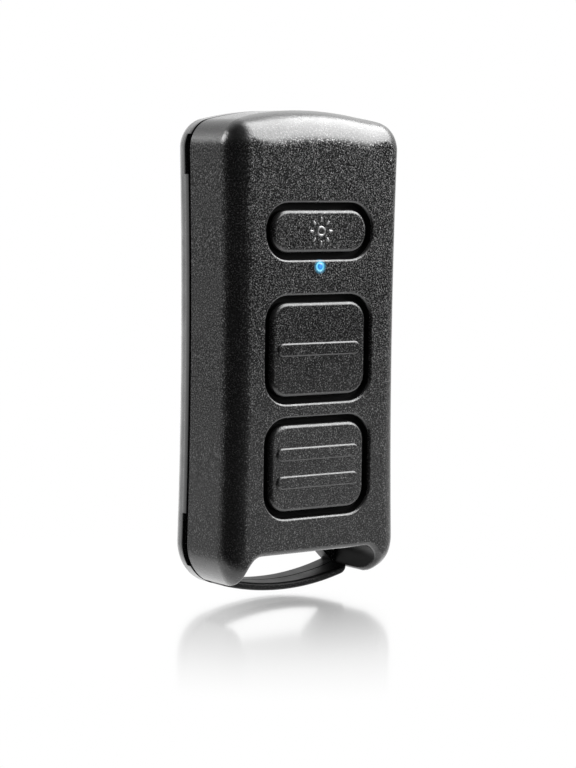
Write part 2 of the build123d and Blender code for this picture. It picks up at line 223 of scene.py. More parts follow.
def rightSide(spacing, cornerStart=None):
    # The right half of the outline up to the middle of the crown, from the bottom's middle or within its corner
    crownZ = caseHeight - case["crown"]
    lowX, lowZ, lowMeet = cornerSpot(case["arch"], case["arch"], case["bottomCorner"], -1)
    topX, topZ, topMeet = cornerSpot(crownZ, case["crown"], case["topCorner"], 1)
    lowAngle, topAngle = atan2(lowZ - case["arch"], lowX), atan2(topZ - crownZ, topX)
    lowGap, topGap = spacing * case["bottomGap"], spacing * case["topGap"]
    z = np.linspace(lowMeet, topMeet, int((topMeet - lowMeet) / spacing / case["sideGap"]))
    tilt = sideTilt(z)
    side = sideBySide(sideX(z), z, np.cos(tilt), -np.sin(tilt))
    first = [] if cornerStart else [arcRow((0, case["arch"]), case["arch"], -pi / 2, lowAngle, spacing)]
    return first + [
        arcRow((lowX, lowZ), case["bottomCorner"], cornerStart or lowAngle, -sideTilt(lowMeet), lowGap),
        side,
        arcRow((topX, topZ), case["topCorner"], -sideTilt(topMeet), topAngle, topGap),
        arcRow((0, crownZ), case["crown"], topAngle, pi / 2, spacing),
    ]


def flipped(path):
    # The mirror image of a row, from its end back to its start
    left = path[::-1].copy()
    left[:, [0, 2]] *= -1
    return left


def mirrored(path):
    # A right half and its mirror image as one closed loop
    return np.vstack([path, flipped(path)[1:-1]])


def caseLoop(spacing, inset=0.0):
    loop = mirrored(joinRows(rightSide(spacing)))
    loop[:, :2] = np.round(loop[:, :2] - inset * loop[:, 2:], 3)
    return loop


def cavityLoop(inset, floor):
    # The space inside the walls, closed by a straight floor
    loop = caseLoop(case["spacing"], inset)
    above = np.array([p for p in loop if p[1] > floor + 0.2])  # a little clear of the floor's own points
    start = int(np.argmin(np.where(above[:, 0] > 0, above[:, 1], 1e9)))
    above = np.roll(above, -start, axis=0)
    reach = sideX(floor) - inset
    base = lineRow((-reach, floor), (reach, floor), (0, -1), 1.5)
    return np.vstack([above, base])


denseOutline = caseLoop(0.06)  # close enough together to stand for the smooth outline
outlineTree = KDTree(len(denseOutline))
for i, p in enumerate(denseOutline):
    outlineTree.insert((p[0], p[1], 0), i)
outlineTree.balance()


def smoothStep(value):
    share = np.clip(value, 0, 1)
    return share * share * (3 - 2 * share)


def frontRound(x, z):
    # Radius of the front edge: fuller along the top and the bottom than down the sides
    end = "top" if z > sideMiddle else "bottom"
    reach, width = case[end + "Blend"]
    return case["sideRound"] + (case[end + "Round"] - case["sideRound"]) * smoothStep((reach - abs(x)) / width)


def backRoundAt(x, z):
    return case["backRound"]


def outlineDistance(points, roundAt):
    # How far each point lies inside the outline, the way out and the edge's radius there
    inside, ways, radii = [], [], []
    for x, z in points:
        _, i, _ = outlineTree.find((x, z, 0))
        px, pz, nx, nz = denseOutline[i]
        inside.append((px - x) * nx + (pz - z) * nz)
        ways.append((nx, nz))
        radii.append(roundAt(px, pz))
    return np.array(inside), np.array(ways), np.array(radii)


def signOf(values):
    # 1 or -1, and never 0
    return np.where(values < 0, -1.0, 1.0)


def roundedBox(centre, halfWide, halfHigh, corner, openBelow=False):
    # Distance outside a rounded rectangle and the way back towards it
    def distance(points):
        offset = np.asarray(points) - np.array(centre)
        signs = signOf(offset)
        if openBelow:
            signs[:, 1] = 1
        past = offset * signs - np.array([halfWide - corner, halfHigh - corner])
        outside = np.hypot(*np.maximum(past, 0).T)
        wider = past[:, 0] > past[:, 1]
        curved, straight = past / np.maximum(outside, tiny)[:, None], sideBySide(wider, ~wider)
        ways = np.where((past > 0).all(axis=1)[:, None], curved, straight)
        return outside + np.minimum(past.max(axis=1), 0) - corner, -ways * signs

    return distance


def stadium(start, end, radius):
    # Distance outside a line with round ends, and the way out
    start, end = np.array(start, float), np.array(end, float)
    along = end - start

    def distance(points):
        share = np.clip(((points - start) @ along) / max(along @ along, tiny), 0, 1)
        offset = points - (start + share[:, None] * along)
        length = np.maximum(np.hypot(offset[:, 0], offset[:, 1]), tiny)
        return length - radius, offset / length[:, None]

    return distance


def disc(centre, radius):
    # Like roundedBox, with the way back
    def distance(points):
        away, way = stadium(centre, centre, radius)(np.asarray(points))
        return away, -way

    return distance


def ringShape(centre, radius, half):
    def distance(points):
        away, way = stadium(centre, centre, radius)(points)
        return np.abs(away) - half, way * signOf(away)[:, None]

    return distance


def plateSurface(points, features, roundAt):
    # Depth below the flat face, and the normal as (x, towards the face, z), of a plate with rounded edges
    inside, ways, radius = outlineDistance(points, roundAt)
    count = len(points)
    bite, edge, gap = np.zeros(count), np.full(count, 1e-6), np.full(count, 1e-6)  # where no feature is near
    toGap = np.zeros((count, 2))
    for feature in features:
        away, way = feature["distance"](points)
        r = feature["round"]
        near = np.clip(away, 0, r)
        cut = r - np.sqrt(np.maximum(r * r - (r - near) ** 2, 0))
        pick = cut > bite
        bite[pick], edge[pick], gap[pick] = cut[pick], r, near[pick]
        toGap[pick] = way[pick]
    lean = np.clip(radius - inside, 0, radius)
    core = np.sqrt(np.maximum((radius - bite) ** 2 - lean**2, 0))
    base = sideBySide(lean * ways[:, 0], core, lean * ways[:, 1])
    base /= np.maximum(np.linalg.norm(base, axis=1), tiny)[:, None]
    side = sideBySide(toGap[:, 0], np.zeros(count), toGap[:, 1])
    normals = base * (edge - bite)[:, None] + side * (edge - gap)[:, None]
    normals /= np.maximum(np.linalg.norm(normals, axis=1), tiny)[:, None]
    return radius - core, normals, inside, bite


def easedEdge(radius, steps):
    # Even turns of an eased edge: how far in, how far down, and the normal's two shares
    return [(radius * (1 - cos(t)), radius * sin(t), cos(t), sin(t)) for t in np.linspace(0, pi / 2, steps + 1)]


def easing(radius, steps):
    return [inset for inset, _, _, _ in easedEdge(radius, steps)]


def edgeRings(path, roundAt, steps):
    # Rows along the outline at even turns of its rounding
    radii = np.array([roundAt(p[0], p[1]) for p in path])
    return [path[:, :2] - inset[:, None] * path[:, 2:] for inset in easing(radii, steps)[1:]]


def splitRow(row, good, closed):
    # The stretches of a row that are inside the surface
    parts, part = [], []
    order = list(range(len(row))) + ([0] if closed else [])
    for i in order:
        if good[i]:
            part.append(tuple(np.round(row[i], 3)))
        elif part:
            parts.append(part)
            part = []
    if part:
        parts.append(part)
    return [p for p in parts if len(p) > 1]


def gridDots(step, lowX, highX, lowZ, highZ):
    x, z = np.meshgrid(np.arange(lowX, highX, step), np.arange(lowZ, highZ, step))
    return sideBySide(x.ravel(), z.ravel())


def insideLoop(loop):
    # Even-odd test of many points against a closed loop
    def test(points):
        hit = np.zeros(len(points), bool)
        x, z = points[:, 0], points[:, 1]
        for a, b in zip(loop, np.roll(loop, -1, axis=0)):
            crosses = (a[1] > z) != (b[1] > z)
            if crosses.any():
                at = a[0] + (z - a[1]) / ((b[1] - a[1]) or 1e-12) * (b[0] - a[0])
                hit ^= crosses & (x < at)
        return hit

    return test


def clearance(points, features, rounds=0):
    # Distance from the nearest feature, or from the end of its rounded edge
    return np.min([f["distance"](points)[0] - rounds * f["round"] for f in features], axis=0)


def between(outer, *holes):
    # A test for points inside one loop and outside the others
    inOuter, inHoles = insideLoop(outer), [insideLoop(hole) for hole in holes]
    return lambda points: inOuter(points) & ~np.any([test(points) for test in inHoles], axis=0)


def dressPlate(form, loops, rows, features, roundAt, place, margin=0.03):
    # Fills a rounded plate between its loops; place turns x, depth, z and normal into a corner and its normal
    lines = []
    inLoop = insideLoop(loops[0])
    for row, closed in rows:
        _, _, inside, bite = plateSurface(row, features, roundAt)
        good = (inside > bite + margin) & (clearance(row, features) > margin) & inLoop(row)
        lines += splitRow(row, good, closed)
    dots = gridDots(filler["grid"], -case["halfWidth"], case["halfWidth"], filler["lowest"], caseHeight)
    _, _, inside, _ = plateSurface(dots, features, roundAt)
    dots = dots[(inside > filler["fromEdge"]) & (clearance(dots, features, 1) > filler["fromFeature"])]

    def within(points):
        _, _, inside, bite = plateSurface(points, features, roundAt)
        return (inside > bite * 0.999) & (clearance(points, features) > 0) & inLoop(points)

    points, triangles = fillPlan(loops, lines, dots, within)
    depth, normals, _, _ = plateSurface(points, features, roundAt)
    known = {}
    for loop in loops:
        loopDepth, _, _, _ = plateSurface(loop[:, :2], features, roundAt)
        for p, d in zip(loop, loopDepth):
            known[planKey(p)] = (d, (p[2], 0, p[3]))
    for triangle in triangles:
        corners = []
        for i in triangle:
            d, n = known.get(planKey(points[i]), (depth[i], normals[i]))
            corners.append(place(points[i][0], d, points[i][1], n))
        addPatch(form, corners)
    return known


def addWall(form, loop, starts, end, edge=0.0, finishes=None):
    # A wall behind a closed loop, from one depth or each point's own to another, with an eased end
    columns = []
    finishes = finishes and finishes + finishes[:1]
    for p, start in zip(loop, np.broadcast_to(starts, len(loop))):
        direction = 1 if end > start else -1
        stop = end - direction * edge
        column = [((p[0], start + (stop - start) * i / 3, p[1]), (p[2], 0, p[3])) for i in range(4)]
        for inset, down, out, behind in easedEdge(edge, 3)[1:] if edge else ():
            corner = (p[0] - inset * p[2], stop + direction * down, p[1] - inset * p[3])
            column.append((corner, (p[2] * out, direction * behind, p[3] * out)))
        columns.append(column)
    rows = list(zip(*columns, columns[0]))
    for here, there in zip(rows, rows[1:]):
        addStrip(form, here, there, finishes)


def flatFill(form, loops, depth, direction):
    # A flat face inside the first loop and outside the others
    points, triangles = fillPlan(loops, [], [], between(*loops))
    for triangle in triangles:
        addFace(form, [(points[i][0], depth, points[i][1]) for i in triangle], (0, direction, 0))


def boxLoop(centre, halfWide, halfHigh, corner, spacing=0.5, cornerSteps=10):
    # A rounded rectangle with the outward normal of what lies inside it
    rows = []
    for i, (sx, sz) in enumerate(((1, 1), (-1, 1), (-1, -1), (1, -1))):
        angles = np.linspace(i * pi / 2, (i + 1) * pi / 2, cornerSteps)
        turned = sideBySide(np.cos(angles), np.sin(angles))
        middle = np.array([centre[0] + sx * (halfWide - corner), centre[1] + sz * (halfHigh - corner)])
        rows.append(np.hstack([middle + corner * turned, turned]))
    loop = []
    for i, row in enumerate(rows):
        start, end = row[-1], rows[(i + 1) % 4][0]
        share = np.linspace(0, 1, int(np.linalg.norm(end[:2] - start[:2]) / spacing) + 2)[1:-1, None]
        loop += [row, start + share * (end - start)]
    loop = np.vstack(loop)
    loop[:, :2] = np.round(loop[:, :2], 3)
    return loop


def circleLoop(centre, radius):
    return boxLoop(centre, radius, radius, radius, cornerSteps=9)


def shrunk(loop, inset):
    smaller = loop.copy()
    smaller[:, :2] -= inset * smaller[:, 2:]
    return smaller


# Finishes
def feed(tree, node, values):
    # Plain numbers are set, and sockets are linked
    for key, value in values.items():
        if isinstance(value, bpy.types.NodeSocket):
            tree.links.new(value, node.inputs[key])
        else:
            node.inputs[key].default_value = value


def addNode(tree, kind, values=None, **settings):
    node = tree.nodes.new(kind)
    for key, value in settings.items():
        setattr(node, key, value)
    feed(tree, node, values or {})
    return node


def addMath(tree, operation, *values):
    return addNode(tree, "ShaderNodeMath", dict(enumerate(values)), operation=operation).outputs[0]


def addRange(tree, value, spread, levels, smooth=False):
    # Maps a value within a spread onto two levels
    ends = {"From Min": spread[0], "From Max": spread[1], "To Min": levels[0], "To Max": levels[1]}
    kind = "SMOOTHSTEP" if smooth else "LINEAR"
    return addNode(tree, "ShaderNodeMapRange", {"Value": value, **ends}, interpolation_type=kind).outputs[0]


def addBlend(tree, kind, share, first, second):
    return addNode(tree, "ShaderNodeMix", {"Factor": share, "A": first, "B": second}, data_type=kind).outputs["Result"]


def objectSpot(tree):
    return addNode(tree, "ShaderNodeTexCoord").outputs["Object"]


def addNoise(tree, scale, detail, rough=0.5):
    values = {"Vector": objectSpot(tree), "Scale": scale, "Detail": detail, "Roughness": rough}
    return addNode(tree, "ShaderNodeTexNoise", values).outputs["Fac"]


def addLength(tree, vector):
    return addNode(tree, "ShaderNodeVectorMath", {0: vector}, operation="LENGTH").outputs["Value"]


def newGroup(name, inputs):
    # A node group and the sockets of its inputs, which are all plain values
    group = bpy.data.node_groups.new(name, "ShaderNodeTree")
    for label, value in inputs.items():
        socket = group.interface.new_socket(name=label, in_out="INPUT", socket_type="NodeSocketFloat")
        socket.default_value = value
    return group, group.nodes.new("NodeGroupInput").outputs


def endGroup(group, outputs):
    for label in outputs:
        group.interface.new_socket(name=label, in_out="OUTPUT", socket_type="NodeSocketFloat")
    feed(group, group.nodes.new("NodeGroupOutput"), outputs)
    return group


def sparkGrain():
    # Spark-eroded mould texture: pebbled height, how far each grain's crest shines, and slow clouds
    group, given = newGroup("sparkGrain", {"Grain": 6500.0, "Low": 0.4, "High": 0.72})
    pebbles = addNoise(group, addMath(group, "MULTIPLY", given["Grain"], 0.72), 1.0)
    crests = addNoise(group, given["Grain"], 2.0, 0.55)
    crest = addRange(group, crests, (given["Low"], given["High"]), (0.0, 1.0))
    return endGroup(group, {"Height": pebbles, "Crest": crest, "Cloud": addNoise(group, 260.0, 2.0)})


def fineNoise():
    # Slight unevenness of colour and gloss for the small inner parts
    group, given = newGroup("fineNoise", {"Scale": 900.0})
    return endGroup(group, {"Height": addNoise(group, given["Scale"], 4.0), "Cloud": addNoise(group, 180.0, 2.0)})


sparkGroup, noiseGroup = sparkGrain(), fineNoise()


def newMaterial(name):
    material = bpy.data.materials.new(name)
    material.use_nodes = True
    tree = material.node_tree
    return material, tree, tree.nodes["Principled BSDF"]


def texturedPlastic(name, look):
    # The grain's crests carry the shine, which evens out on flat or steep spots, on the sides and low down
    material, tree, shader = newMaterial(name)
    grain = addNode(tree, "ShaderNodeGroup", node_tree=sparkGroup)
    feed(tree, grain, {key: look[key] for key in ("Grain", "Low", "High")})
    normal = addNode(tree, "ShaderNodeSeparateXYZ", {0: addNode(tree, "ShaderNodeNewGeometry").outputs["Normal"]})
    spot = addNode(tree, "ShaderNodeSeparateXYZ", {0: objectSpot(tree)})
    slope, side = [addMath(tree, "ABSOLUTE", normal.outputs[axis]) for axis in "ZX"]
    calm = addRange(tree, slope, look["slopes"], (0.0, look["calm"]), True)
    sideCalm = addRange(tree, side, look["sides"], (0.0, look["sideCalm"]))
    lowCalm = addRange(tree, spot.outputs["Z"], look["lowSpots"], (0.0, look["lowCalm"]), True)
    calmest = addMath(tree, "MAXIMUM", addMath(tree, "MAXIMUM", calm, sideCalm), lowCalm)
    crest = addMath(tree, "POWER", grain.outputs["Crest"], look["skew"])
    evened = addBlend(tree, "FLOAT", calmest, crest, look["even"])
    gloss = addRange(tree, grain.outputs["Cloud"], (0.3, 0.7), (look["rough"] - 0.05, look["rough"] + 0.05))
    edgeOn = addNode(tree, "ShaderNodeLayerWeight", {"Blend": 0.5}).outputs["Facing"]
    grazing = addRange(tree, edgeOn, (0.45, 0.95), (1.0, look["edgeRough"]), True)
    bump = {"Strength": look["bump"], "Distance": look["height"], "Height": grain.outputs["Height"]}
    feed(tree, shader, {
        "Base Color": addBlend(tree, "RGBA", crest, (*look["dark"], 1), (*look["pale"], 1)), "IOR": 1.5,
        "Specular IOR Level": addRange(tree, evened, (0.0, 1.0), (look["dullest"], look["brightest"])),
        "Roughness": addMath(tree, "MULTIPLY", gloss, grazing),
        "Normal": addNode(tree, "ShaderNodeBump", bump).outputs[0],
    })
    return material


def plainFinish(name, color, rough, metal=0.0, scale=900.0, bump=0.15, glow=None):
    material, tree, shader = newMaterial(name)
    noise = addNode(tree, "ShaderNodeGroup", node_tree=noiseGroup)
    feed(tree, noise, {"Scale": scale})
    cloud = noise.outputs["Cloud"]
    dents = {"Strength": bump, "Distance": 0.00002, "Height": noise.outputs["Height"]}
    feed(tree, shader, {
        "Base Color": addBlend(tree, "RGBA", cloud, (*[c * 0.82 for c in color], 1), (*color, 1)), "Metallic": metal,
        "Roughness": addRange(tree, cloud, (0.0, 1.0), (max(rough - 0.08, 0.02), rough + 0.08)),
        "Normal": addNode(tree, "ShaderNodeBump", dents).outputs[0],
    })
    if glow:
        feed(tree, shader, {"Emission Color": (*glow[0], 1), "Emission Strength": glow[1]})
    return material


def darkFinish(name, color, rough, level):
    material, tree, shader = newMaterial(name)
    feed(tree, shader, {"Base Color": (*color, 1), "Roughness": rough, "Specular IOR Level": level})
    return material


def paintGlowByRadius(material, reach, stops):
    # Paints glow into a material's emission in rings round the indicator's axis: painted light
    tree = material.node_tree
    spot = objectSpot(tree)
    for operation, value in (("SUBTRACT", (0, 0, bore["z"] * mm)), ("MULTIPLY", (1, 0, 1))):
        spot = addNode(tree, "ShaderNodeVectorMath", {0: spot, 1: value}, operation=operation).outputs[0]
    share = addRange(tree, addLength(tree, spot), (0.0, reach * mm), (0.0, 1.0))
    ramp = addNode(tree, "ShaderNodeValToRGB", {"Fac": share})
    elements = ramp.color_ramp.elements
    while len(elements) < len(stops):
        elements.new(0.5)
    for element, (place, color) in zip(elements, stops):
        element.position, element.color = place / reach, (*color, 1)
    feed(tree, tree.nodes["Principled BSDF"], {"Emission Color": ramp.outputs["Color"], "Emission Strength": 1.0})


shellLook = {
    "Grain": 5600.0, "Low": 0.42, "High": 0.72, "skew": 2.35, "even": 0.23,
    "calm": 0.85, "slopes": (0.03, 0.32), "sideCalm": 0.15, "sides": (0.5, 0.95),
    "lowCalm": 0.36, "lowSpots": (0.04, 0.012),
    "dark": (0.01, 0.01, 0.0102), "pale": (0.027, 0.027, 0.0274), "dullest": 0.0, "brightest": 3.15,
    "rough": 0.3, "edgeRough": 0.4, "bump": 0.5, "height": 0.00005,
}
# painted highlight: a paler colour on the sun's raised strokes stands in for their glints
paintedGlintLook = {"dark": (0.1, 0.1, 0.1), "pale": (0.22, 0.22, 0.22), "dullest": 1.6, "bump": 0.1}
facePlastic = texturedPlastic("facePlastic", shellLook)
capPlastic = texturedPlastic("capPlastic", shellLook)
middleCapPlastic = texturedPlastic("middleCapPlastic", dict(shellLook, skew=2.7, brightest=2.5, even=0.28))
satinPlastic = texturedPlastic("satinPlastic", dict(shellLook, dullest=0.45, brightest=0.6, rough=0.2, bump=0.05))
strapPlastic = texturedPlastic("strapPlastic", dict(shellLook, brightest=0.9, rough=0.42, edgeRough=1.2))
paintedGlintPlastic = texturedPlastic("paintedGlintPlastic", {**shellLook, **paintedGlintLook})
# painted shade: a near-black, barely shining finish for the walls of openings, gaps and hollows, where shade falls
shadedInnerPlastic = darkFinish("shadedInnerPlastic", (0.006, 0.006, 0.006), 0.6, 0.05)
# painted shade: a darker, duller finish for the notch's inner walls, which stand in shade
shadedNotchPlastic = darkFinish("shadedNotchPlastic", (0.009, 0.009, 0.009), 0.45, 0.2)
print("finishes made")


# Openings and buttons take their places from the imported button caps
button = {
    "gap": 0.83, "lip": 0.6, "corner": 3.5, "edge": 0.62, "openingEdge": 0.4, "capWall": 1.2, "flangeFront": 1.45,
    "flange": 0.8, "post": 1.7, "postEnd": 2.8, "postEdge": 0.15, "markHeight": 0.25, "steps": 6, "openingSteps": 4,
}
buttonNames = ("light", "one_bar", "two_bar")


def openingBox(name, grow=0.0):
    low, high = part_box(name + "_button_cap")
    wide = (high.x - low.x) / 2 / mm - button["lip"] + grow
    tall = (high.z - low.z) / 2 / mm - button["lip"] + grow
    return ((low.x + high.x) / 2 / mm, (low.z + high.z) / 2 / mm), wide, tall, button["corner"] + grow


def hollowLoop(loop):
    # The same loop seen from inside
    turned = loop.copy()
    turned[:, 2:] *= -1
    return turned


# Front cover
notch = {"top": 6.2, "half": 10.8, "corner": 2.3, "edge": 0.8, "steps": 5, "legEnd": 0.5, "rowEnd": 1.2, "floor": 7.4}
bore = {"z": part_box("light_guide")[1].z / mm - 0.44, "radius": 0.55, "edge": 0.12, "rings": (0.67, 0.585)}
rimEdge = 0.15
spill = {
    # painted glow: the lit pin's light painted as emission on the edge of its bore
    "reach": 1.1,
    "stops": ((0.0, (0.1, 0.6, 0.9)), (0.58, (0.16, 0.7, 0.95)), (0.72, (0.03, 0.2, 0.33)), (1.05, (0, 0, 0))),
}
paintGlowByRadius(facePlastic, spill["reach"], spill["stops"])


def notchRows(low):
    # From the middle of the notch's top down the right leg's inner side
    half, corner, top = notch["half"], notch["corner"], notch["top"]
    return [
        lineRow((0, top), (half - corner, top), (0, -1), 0.6),
        arcRow((half - corner, top - corner), corner, pi / 2, 0, 0.2, side=-1),
        lineRow((half, top - corner), (half, low), (-1, 0), 0.3),
    ]


def frontLoop():
    cornerX, cornerZ, _ = cornerSpot(case["arch"], case["arch"], case["bottomCorner"], -1)
    legX = notch["half"] + notch["legEnd"]
    legZ = cornerZ - sqrt((case["bottomCorner"] - notch["legEnd"]) ** 2 - (legX - cornerX) ** 2)
    start = atan2(legZ - cornerZ, legX - cornerX)
    legEnd = arcRow((legX, legZ), notch["legEnd"], -pi, start, 0.1)
    return mirrored(joinRows(notchRows(legZ) + [legEnd] + rightSide(case["spacing"], start)))


def frontCover():
    form = newForm()
    outer = frontLoop()
    notchShape = roundedBox((0, 0), notch["half"], notch["top"], notch["corner"], True)
    features, holes = [{"distance": notchShape, "round": notch["edge"]}], []
    rows = [(row, True) for row in edgeRings(caseLoop(case["spacing"]), frontRound, case["frontSteps"])]
    path = joinRows(notchRows(notch["rowEnd"]))
    path = np.vstack([flipped(path)[:-1], path])
    rows += [(path[:, :2] - grow * path[:, 2:], False) for grow in easing(notch["edge"], notch["steps"])[1:]]
    for name in buttonNames:
        centre, wide, high, corner = openingBox(name)
        features.append({"distance": roundedBox(centre, wide, high, corner), "round": button["openingEdge"]})
        holes.append(hollowLoop(boxLoop(centre, wide, high, corner)))
        for grow in easing(button["openingEdge"], button["openingSteps"])[1:]:
            rows.append((boxLoop(centre, wide + grow, high + grow, corner + grow)[:, :2], True))
    middle = (0, bore["z"])
    features.append({"distance": disc(middle, bore["radius"]), "round": bore["edge"]})
    holes.append(hollowLoop(circleLoop(middle, bore["radius"])))
    rows += [(circleLoop(middle, radius)[:, :2], True) for radius in bore["rings"]]

    def place(x, depth, z, n):
        return (x, depth, z), (n[0], -n[1], n[2])

    known = dressPlate(form, [outer] + holes, rows, features, frontRound, place)
    starts = [known[planKey(p)][0] for p in outer]
    # the walls inside the notch take the painted-shade notch finish
    notchShade = [2 if abs(p[0]) < notch["half"] + 0.01 and p[1] < notch["top"] + 0.01 else 0 for p in outer]
    addWall(form, outer, starts, frontRim, rimEdge, notchShade)
    # the rim, the cavity and the openings' walls take the painted-shade finish
    form["finish"] = 1
    wall, cavity = case["wall"], cavityLoop(case["wall"], notch["floor"])
    flatFill(form, [shrunk(outer, rimEdge), cavity], frontRim, 1)
    addWall(form, hollowLoop(cavity), frontRim, wall)
    flatFill(form, [cavity] + holes, wall, 1)
    for hole in holes:
        addWall(form, hole, [known[planKey(p)][0] for p in hole], wall)
    piece = finishForm(form, "frontCover", "case", [facePlastic, shadedInnerPlastic, shadedNotchPlastic])
    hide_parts("front_cover")


# Back cover, its key-ring strap and the pry slots in its rim
back = {
    "rim": 10.4, "inner": 12.0, "slotTop": 6.2, "slotHalf": 6.9, "slotEdge": 0.5, "slotSteps": 4,
    "strap": 1.05, "strapFront": 7.1, "strapHalf": 10.65, "strapEdge": 0.42, "strapUnder": 0.3, "strapStep": 0.1,
    "endRound": 0.95, "pryDepth": 11.15, "pryInset": 1.5, "pryRanges": ((3.95, 11.2), (56.57, 61.92)), "pryFrom": 10.95,
    "prySteps": 12, "pryPast": 0.4, "strapRibs": 70,
    "bowStart": radians(2), "bowEnd": radians(24), "lipOut": 1.5, "lipIn": 2.2, "lipFront": 9.2, "lipFloor": 7.5,
}
slant = sqrt(0.5)  # the slot's shoulders stand at 45 degrees


def slotDistance(points):
    # Distance outside the slot, which is bounded by its top, two shoulders and the strap's inner arc
    points = np.asarray(points)
    x, z = points[:, 0], points[:, 1]
    level = np.ones_like(x)
    fromArc = np.hypot(x, z - case["arch"])
    choices = np.stack([z - back["slotTop"], (np.abs(x) + z - back["slotTop"] - back["slotHalf"]) * slant,
                        fromArc - (case["arch"] - back["strap"])])
    ways = np.stack([
        sideBySide(0 * level, -level),
        sideBySide(-signOf(x) * slant, -slant * level),
        sideBySide(-x / fromArc, (case["arch"] - z) / fromArc),
    ])
    which = np.argmax(choices, axis=0)
    return choices.max(axis=0), ways[which, np.arange(len(x))]


def slotLoop():
    inner, top, x = case["arch"] - back["strap"], back["slotTop"], back["slotHalf"]
    reach = top + back["slotHalf"]  # x + z along the right shoulder
    for _ in range(40):
        x = reach - (case["arch"] - sqrt(inner**2 - x**2))
    end = (x, reach - x)
    rows = np.vstack([
        lineRow((0, top), (back["slotHalf"], top), (0, -1), 0.6),
        lineRow((back["slotHalf"], top), end, (-slant, -slant), 0.4),
        arcRow((0, case["arch"]), inner, atan2(end[1] - case["arch"], end[0]), -pi / 2, 0.5, side=-1),
    ])
    rows[:, :2] = np.round(rows[:, :2], 3)
    return mirrored(rows)


def pryAt(points):
    inside, _, _ = outlineDistance(points, backRoundAt)
    hit = np.zeros(len(points), bool)
    for low, high in back["pryRanges"]:
        hit |= (points[:, 1] > low) & (points[:, 1] < high)
    return hit & (np.abs(points[:, 0]) > back["pryFrom"]) & (inside < back["pryInset"])


def pryLines():
    # The inner side and the two ends of each pry slot
    lines = []
    for low, high in back["pryRanges"]:
        z = np.linspace(low, high, back["prySteps"])
        for side in (-1, 1):
            lines.append(sideBySide(side * (sideX(z) - back["pryInset"]), z))
            for v in (low, high):
                reach = sideX(v) + back["pryPast"], sideX(v) - back["pryInset"]
                lines.append(np.array([(side * reach[0], v), (side * reach[1], v)]))
    return lines


def backRim(form, outer, slot, lip, known):
    # One flat fill whose triangles step back inside the pry slots, and the walls along its steps and loops
    loops, inSlot, inLip = (outer, slot, lip), insideLoop(slot), insideLoop(lip)
    points, triangles = fillPlan(loops, pryLines(), [], between(*loops))
    depths = np.where(pryAt(points[triangles].mean(axis=1)), back["pryDepth"], back["rim"])
    beside = {}
    for triangle, depth in zip(triangles, depths):
        addFace(form, [(points[i][0], depth, points[i][1]) for i in triangle], (0, -1, 0))
        middle = points[triangle].mean(axis=0)
        for a, b in zip(triangle, np.roll(triangle, -1)):
            beside.setdefault((min(a, b), max(a, b)), []).append((depth, middle))
    slotEnd, caseEnd = caseDepth - back["slotEdge"], caseDepth - case["backRound"]
    bows = [(cos(back[key]), sin(back[key])) for key in ("bowStart", "bowStart", "bowEnd", "bowEnd")]
    for (a, b), sides in beside.items():
        p, q = points[a], points[b]
        across = np.array([q[1] - p[1], p[0] - q[0]])
        across /= max(np.linalg.norm(across), tiny)
        bowed, turned = False, 1
        if len(sides) == 2 and sides[0][0] != sides[1][0]:
            low, high, towards = back["rim"], back["pryDepth"], max(sides, key=lambda s: s[0])[1] - p
        elif len(sides) == 1:
            depth, middle = sides[0]
            towards = p - middle
            beyond = np.array([(p + q) / 2 + across * 0.02 * np.sign(across @ towards)])  # a spot just past the edge
            if inLip(beyond)[0]:
                low, high, turned = back["lipFront"], depth, -1
            else:
                low, high, bowed = depth, slotEnd if inSlot(beyond)[0] else caseEnd, True
        else:
            continue
        across *= (np.sign(across @ towards) or 1) * turned
        normal = (across[0], 0, across[1])
        ways = [normal] * 4
        if bowed:
            ends = [known.get(planKey(v), (0, normal))[1] for v in (p, q)]
            smooth = [e if abs(Vector(e).dot(Vector(normal))) > 0.9 else normal for e in ends]
            ways = [(smooth[i][0] * flat, rise, smooth[i][2] * flat) for i, (flat, rise) in zip((0, 1, 1, 0), bows)]
        form["finish"] = 2 if high == slotEnd else 0
        addPanel(form, p, q, low, high, ways)


def backCover():
    form = newForm()
    outer, slot = caseLoop(case["spacing"]), slotLoop()
    features = [{"distance": slotDistance, "round": back["slotEdge"]}]
    rows = [(row, True) for row in edgeRings(outer, backRoundAt, case["backSteps"])]
    rows += [(slot[:, :2] - grow * slot[:, 2:], True) for grow in easing(back["slotEdge"], back["slotSteps"])[1:]]

    def place(x, depth, z, n):
        # the round goes on from the side's bow, so that the shading has no step
        flat = sqrt(n[0] ** 2 + n[2] ** 2)
        turn = back["bowEnd"] + atan2(n[1], flat) * (1 - back["bowEnd"] / (pi / 2))
        share = cos(turn) / flat if flat > 1e-6 else 0
        return (x, caseDepth - depth, z), (n[0] * share, sin(turn), n[2] * share)

    known = dressPlate(form, [outer, slot], rows, features, backRoundAt, place, margin=0.02)
    lip = cavityLoop(back["lipOut"], back["lipFloor"])
    inner = cavityLoop(back["lipIn"], back["lipFloor"] + back["lipIn"] - back["lipOut"])
    backRim(form, outer, slot, lip, known)
    form["finish"] = 0
    flatFill(form, [lip, inner], back["lipFront"], -1)
    # the lip's inner wall and the floor inside it take the painted-shade finish
    form["finish"] = 1
    addWall(form, hollowLoop(inner), back["lipFront"], back["inner"])
    flatFill(form, [inner], back["inner"], -1)
    addStrap(form)
    piece = finishForm(form, "backCover", "case", [satinPlastic, shadedInnerPlastic, strapPlastic])
    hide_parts("back_cover")


